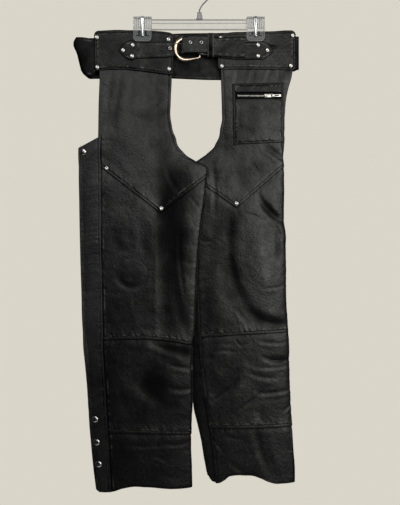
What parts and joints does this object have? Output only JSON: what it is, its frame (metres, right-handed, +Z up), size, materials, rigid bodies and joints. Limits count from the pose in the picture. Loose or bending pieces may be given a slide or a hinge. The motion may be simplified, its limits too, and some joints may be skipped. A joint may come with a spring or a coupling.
{
  "type": "leather chaps on a clip hanger",
  "caption": "Black leather riding chaps: two open-backed legs under a belted waist, with a zip pocket and side snap flaps, hanging flat from a clip hanger.",
  "frame": {"origin": "inside top of the hanger's hook, where the rail bears", "axes": "+Z up along the hanging length; +X to the right as seen from the front; -Y out of the front, so +Y is behind"},
  "size_m": [0.5183, 0.0469, 1.1691],
  "materials": {
    "leg_leather": "fine pebbled grain, soft sheen, black",
    "waist_leather": "double leather, soft sheen, black",
    "strap_leather": "stitched strap leather, soft sheen, black",
    "zip_tape": "woven, matt, black",
    "zip_metal": "plated, satin",
    "rivets": "plated, satin",
    "snaps": "plated, satin",
    "eyelets": "plated, satin",
    "buckle_metal": "antique nickel, satin",
    "hanger_plastic": "clear, smooth",
    "clip_plastic": "clear, smooth",
    "clip_springs": "bright",
    "hook_wire": "bright"
  },
  "bodies": {
    "chaps": {"back_band": "waist_leather", "buckle": "buckle_metal", "buckle_strap": "strap_leather", "buckle_strap_rivet_1": "rivets", "buckle_strap_rivet_2": "rivets", "buckle_strap_rivet_3": "rivets", "eyelet_1": "eyelets", "eyelet_2": "eyelets", "eyelet_3": "eyelets", "hanger_bar": "hanger_plastic", "hanger_hook": "hook_wire", "hanger_neck": "hanger_plastic", "keeper": "strap_leather", "left_back": "leg_leather", "left_clip": "clip_plastic", "left_clip_spring": "clip_springs", "left_flap": "leg_leather", "left_front_hem": "leg_leather", "left_front_knee": "leg_leather", "left_front_rivet_1": "rivets", "left_front_rivet_2": "rivets", "left_front_thigh": "leg_leather", "left_front_top": "leg_leather", "left_snap_1": "snaps", "left_snap_2": "snaps", "left_snap_3": "snaps", "left_snap_4": "snaps", "left_yoke": "waist_leather", "left_yoke_rivet_1": "rivets", "left_yoke_rivet_2": "rivets", "left_yoke_rivet_3": "rivets", "left_yoke_rivet_4": "rivets", "pocket": "leg_leather", "prong": "buckle_metal", "right_back": "leg_leather", "right_clip": "clip_plastic", "right_clip_spring": "clip_springs", "right_flap": "leg_leather", "right_front_hem": "leg_leather", "right_front_knee": "leg_leather", "right_front_rivet_1": "rivets", "right_front_thigh": "leg_leather", "right_front_top": "leg_leather", "right_snap_1": "snaps", "right_snap_2": "snaps", "right_snap_3": "snaps", "right_snap_4": "snaps", "right_yoke": "waist_leather", "right_yoke_rivet_1": "rivets", "right_yoke_rivet_2": "rivets", "right_yoke_rivet_3": "rivets", "right_yoke_rivet_4": "rivets", "tip_strap": "strap_leather", "tip_strap_rivet_1": "rivets", "tip_strap_rivet_2": "rivets", "tip_strap_rivet_3": "rivets", "zip_slider": "zip_metal", "zip_tape": "zip_tape", "zip_teeth": "zip_metal"},
    "pull_tab": {"zip_pull": "zip_metal"}
  },
  "joints": [
    {"name": "pull_tab_swing", "type": "hinge", "parent": "chaps", "child": "pull_tab", "pos_m": [0.1678, -0.01502, -0.2594], "axis": [0, 0, -1], "range_deg": [0, 170]}
  ]
}
